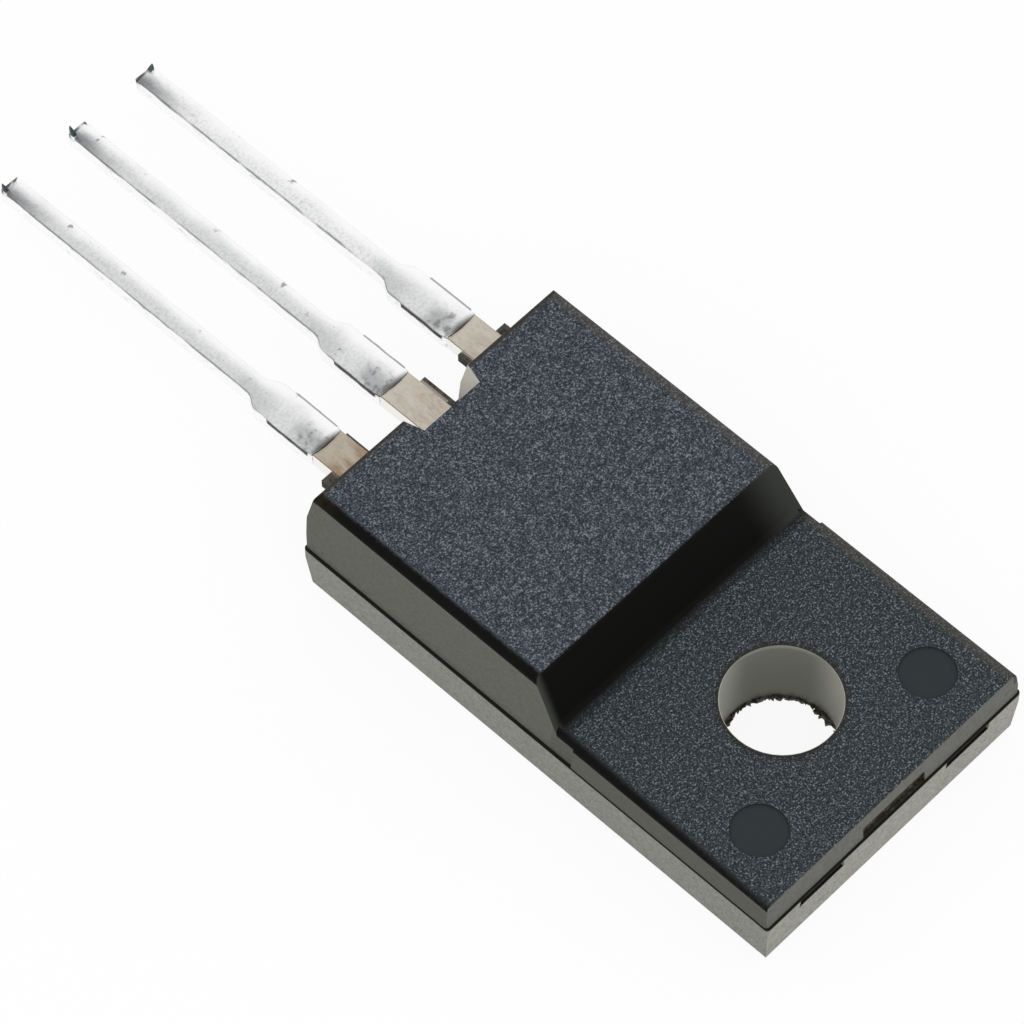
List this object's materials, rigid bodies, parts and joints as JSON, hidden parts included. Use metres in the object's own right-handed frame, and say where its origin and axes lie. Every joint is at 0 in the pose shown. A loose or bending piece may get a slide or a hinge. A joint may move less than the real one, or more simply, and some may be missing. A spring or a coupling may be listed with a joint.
{
  "type": "power transistor",
  "caption": "Power transistor in a fully moulded flat package with a screw tab at one end and a row of solder-dipped leads at the other.",
  "frame": {"origin": "axis of the screw hole, on the flat back face of the package", "axes": "+Z out of the stepped front face, away from the heatsink; +Y along the leads towards their tips; X across the body, the control lead on the +X side"},
  "size_m": [0.0098, 0.0301, 0.0041],
  "materials": {
    "moulding": "finely grained top faces, smooth sides, matte",
    "lead_frame": "satin copper alloy, slightly stained",
    "solder": "bright dipped solder, slightly uneven",
    "die_solder": "dull soft solder",
    "silicon": "polished dark grey",
    "bond_wire": "smooth drawn wire"
  },
  "bodies": {
    "root": {"moulded_body": "moulding", "header_with_middle_lead": "lead_frame", "control_lead": "lead_frame", "load_lead": "lead_frame", "die_attach": "die_solder", "silicon_die": "silicon", "thin_wire": "bond_wire", "thick_wire_inner": "bond_wire", "thick_wire_outer": "bond_wire", "solder_control": "solder", "solder_middle": "solder", "solder_load": "solder"}
  },
  "joints": []
}
